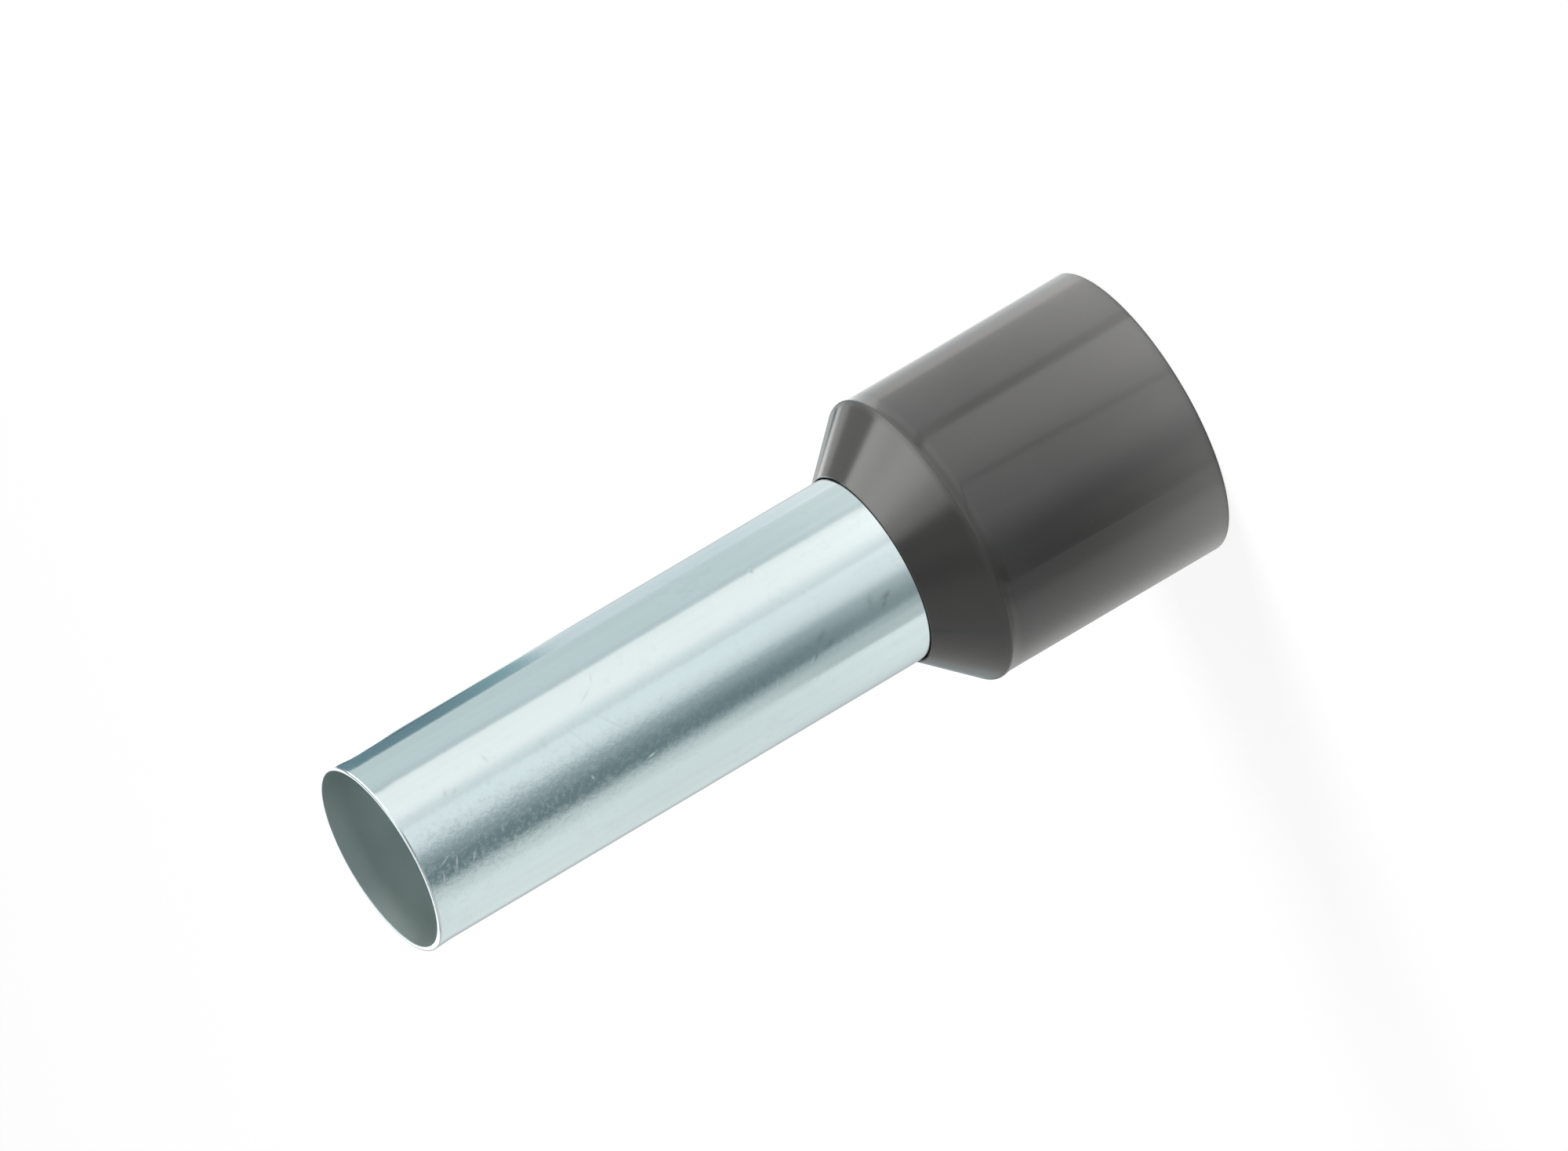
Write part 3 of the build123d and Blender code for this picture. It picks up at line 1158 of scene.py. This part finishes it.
@dataclass(frozen=True)
class SoftLamp:
    """A soft area lamp aimed at the ferrule's foot, unseen in reflections."""

    name: str
    azimuth: float
    """Degrees from the camera's side, growing towards -X."""
    level: float
    """How brightly it lights a surface that faces it, where 1 shows a colour as written."""
    elevation: float = 12.0
    distance: float = 320.0
    width: float = 200.0
    height: float = 90.0

    def build(self) -> bpy.types.Object:
        """Makes the lamp.

        A lamp of power P lights a surface that faces it at distance d to P / (pi d)^2.

        Returns:
            The lamp.
        """
        azimuth, elevation = math.radians(self.azimuth), math.radians(self.elevation)
        away = Vector((
            -math.sin(azimuth) * math.cos(elevation),
            -math.cos(azimuth) * math.cos(elevation),
            math.sin(elevation),
        ))
        light = bpy.data.lights.new(self.name, "AREA")
        light.shape = "RECTANGLE"
        light.size, light.size_y = self.width * MM, self.height * MM
        light.energy = self.level * (math.pi * self.distance * MM) ** 2
        lamp = bpy.data.objects.new(self.name, light)
        lamp.location = away * (self.distance * MM)
        lamp.rotation_euler = away.to_track_quat("Z", "Y").to_euler()
        bpy.context.scene.collection.objects.link(lamp)
        lamp.visible_glossy = False
        return lamp


@dataclass
class Studio:
    """The floor with its rings of light, the lamps, the air round them and the light tent.

    Lengths are in millimetres.
    """

    floor_half: float = 1500.0
    floor_white: float = 0.6
    """How much of the light on it the floor's paint gives back."""
    floor_glow: float = 0.79
    """How much the floor glows to the camera on top of that."""
    rings: tuple[tuple[float, float, float], ...] = ((6.8, 13.0, 2.85), (0.2, 6.1, 1.2))
    """Each ring's inner radius, outer radius and level: one round the foot and one inside it."""
    ring_lift: float = 0.02
    ring_steps: int = 96
    fill_level: float = 0.16
    """Strength of the air's light on anything but what shines and what the camera sees."""
    lamps: tuple[SoftLamp, ...] = (
        SoftLamp("key_lamp", azimuth=-65.0, level=0.95),
        SoftLamp("rim_lamp", azimuth=115.0, level=0.40),
    )
    tent: LightTent = field(default_factory=LightTent)

    def build(self) -> None:
        """Makes the floor, the lamps, the world and the tent."""
        self.build_floor()
        for inner, outer, level in self.rings:
            self.build_ring(inner, outer, level)
        for lamp in self.lamps:
            lamp.build()
        self.build_world()
        self.tent.build()

    def build_floor(self) -> bpy.types.Object:
        """Makes the pale floor, which is clear when seen from below.

        Its own paint takes light and shadow, and to the camera it also glows, so that it reads as
        white.

        Returns:
            The floor.
        """
        half = self.floor_half * MM
        corners = np.array([[-half, -half, 0], [half, -half, 0], [half, half, 0], [-half, half, 0]])
        mesh = bpy.data.meshes.new("floor")
        mesh.from_pydata(corners, [], [(0, 1, 2, 3)])
        material = bpy.data.materials.new("floor_white")
        material.use_nodes = True
        material.cycles.emission_sampling = "NONE"
        graph = Graph(material.node_tree)
        seen = graph.add("ShaderNodeLightPath").term("Is Camera Ray")
        glow = seen * self.floor_glow
        glow = graph.add("ShaderNodeEmission", None, {"Color": (1, 1, 1, 1), "Strength": glow})
        paint = graph.add("ShaderNodeBsdfDiffuse", None, {"Color": (*[self.floor_white] * 3, 1.0)})
        white = graph.add("ShaderNodeAddShader", None, {0: glow.out(), 1: paint.out()})
        under = graph.add("ShaderNodeNewGeometry").out("Backfacing")
        clear = graph.add("ShaderNodeBsdfTransparent")
        shader = graph.add("ShaderNodeMixShader", None, {0: under, 1: white.out(), 2: clear.out()})
        graph.add("ShaderNodeOutputMaterial", None, {"Surface": shader.out()})
        mesh.materials.append(material)
        floor = bpy.data.objects.new("floor", mesh)
        bpy.context.scene.collection.objects.link(floor)
        shown_to(floor, Ray.CAMERA, Ray.DIFFUSE, Ray.TRANSMISSION, Ray.SHADOW)
        return floor

    def build_ring(self, inner: float, outer: float, level: float) -> bpy.types.Object:
        """Makes a ring of light on the floor, which lights the collar's foot or its inside.

        It is two circles of points, the inner and the outer, joined by flat faces.

        Args:
            inner: the ring's inner radius, in millimetres.
            outer: its outer radius.
            level: what it gives off, where 1 is white.

        Returns:
            The ring, which gives off light upwards only and isn't seen itself.
        """
        turn = np.linspace(0.0, 2 * np.pi, self.ring_steps, endpoint=False)
        circle = np.stack([np.cos(turn), np.sin(turn)], axis=1)
        flat = np.vstack([circle * inner, circle * outer])
        points = np.hstack([flat, np.full((len(flat), 1), self.ring_lift)]) * MM
        first = np.arange(len(circle))
        after = np.roll(first, -1)
        faces = np.stack([first, first + len(circle), after + len(circle), after], axis=1)
        mesh = bpy.data.meshes.new("floor_ring")
        mesh.from_pydata(points, [], faces)
        material = bpy.data.materials.new("ring_light")
        material.use_nodes = True
        graph = Graph(material.node_tree)
        below = graph.add("ShaderNodeNewGeometry").out("Backfacing")
        light = graph.add("ShaderNodeEmission", None, {"Strength": level})
        clear = graph.add("ShaderNodeBsdfTransparent")
        shader = graph.add("ShaderNodeMixShader", None, {0: below, 1: light.out(), 2: clear.out()})
        graph.add("ShaderNodeOutputMaterial", None, {"Surface": shader.out()})
        mesh.materials.append(material)
        ring = bpy.data.objects.new("floor_ring", mesh)
        bpy.context.scene.collection.objects.link(ring)
        shown_to(ring, Ray.DIFFUSE)
        return ring

    def build_world(self) -> bpy.types.World:
        """Makes the air: white to the camera and to what shines, a soft fill to everything else.

        Returns:
            The world.
        """
        world = bpy.data.worlds.new("studio_air")
        world.use_nodes = True
        graph = Graph(world.node_tree)
        path = graph.add("ShaderNodeLightPath")
        clear = path.term("Is Camera Ray").math("MAXIMUM", path.term("Is Glossy Ray"))
        clear = clear.math("MAXIMUM", path.term("Is Transmission Ray"))
        strength = self.fill_level + (1 - self.fill_level) * clear
        air = graph.add("ShaderNodeBackground", None, {"Color": (1, 1, 1, 1), "Strength": strength})
        graph.add("ShaderNodeOutputWorld", None, {"Surface": air.out()})
        bpy.context.scene.world = world
        return world


@dataclass
class TableCamera:
    """The camera at the photograph's angle: a long lens, looking down a little and rolled on its side."""

    elevation: float = 18.5
    roll: float = -120.6
    lens: float = 800.0
    sensor: float = 36.0
    frame_width: float = 65.79
    """How much of the object's width the frame takes in, in millimetres."""
    mouth_right: float = 14.92
    """How far right of the frame's middle the mouth's centre is, at the object's scale."""
    mouth_up: float = 6.93
    depth_at: float = 8.6
    """How far towards the camera the plane lies that the frame's width is measured in."""
    nearest: float = 0.1
    """The closest that the camera sees, as a share of its distance."""
    farthest: float = 10.0

    def build(self) -> bpy.types.Object:
        """Makes the camera and the scene's view settings.

        The camera's right, up and back directions come from its elevation, turned about the back
        direction by the roll. It is moved sideways so that the mouth's centre falls where the
        photograph has it, and back until the frame is as wide as the photograph's at the tube.

        Returns:
            The camera.
        """
        elevation, roll = math.radians(self.elevation), math.radians(self.roll)
        back = Vector((0.0, -math.cos(elevation), math.sin(elevation)))
        right, up = Vector((1.0, 0.0, 0.0)), Vector((0.0, math.sin(elevation), math.cos(elevation)))
        right, up = (
            math.cos(roll) * right + math.sin(roll) * up,
            -math.sin(roll) * right + math.cos(roll) * up,
        )
        data = bpy.data.cameras.new("table_camera")
        data.sensor_width = self.sensor
        data.lens = self.lens
        distance = self.lens * self.frame_width / self.sensor + self.depth_at
        data.clip_start, data.clip_end = self.nearest * distance * MM, self.farthest * distance * MM
        place = (-self.mouth_right * right - self.mouth_up * up + distance * back) * MM
        camera = bpy.data.objects.new("table_camera", data)
        turn = Matrix((right, up, back)).transposed().to_4x4()
        camera.matrix_world = Matrix.Translation(place) @ turn
        bpy.context.scene.collection.objects.link(camera)
        bpy.context.scene.camera = camera
        bpy.context.scene.view_settings.view_transform = "Standard"
        return camera


def main() -> None:
    """Builds the pieces, the studio and the camera."""
    logging.basicConfig(level=logging.INFO, format="%(name)s: %(message)s")
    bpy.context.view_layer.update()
    sizes = FerruleSizes()
    TableCamera().build()
    ContactSleeve(sizes).build()
    InsulatingCollar(sizes).build()
    Studio().build()


if __name__ == "__main__":
    main()
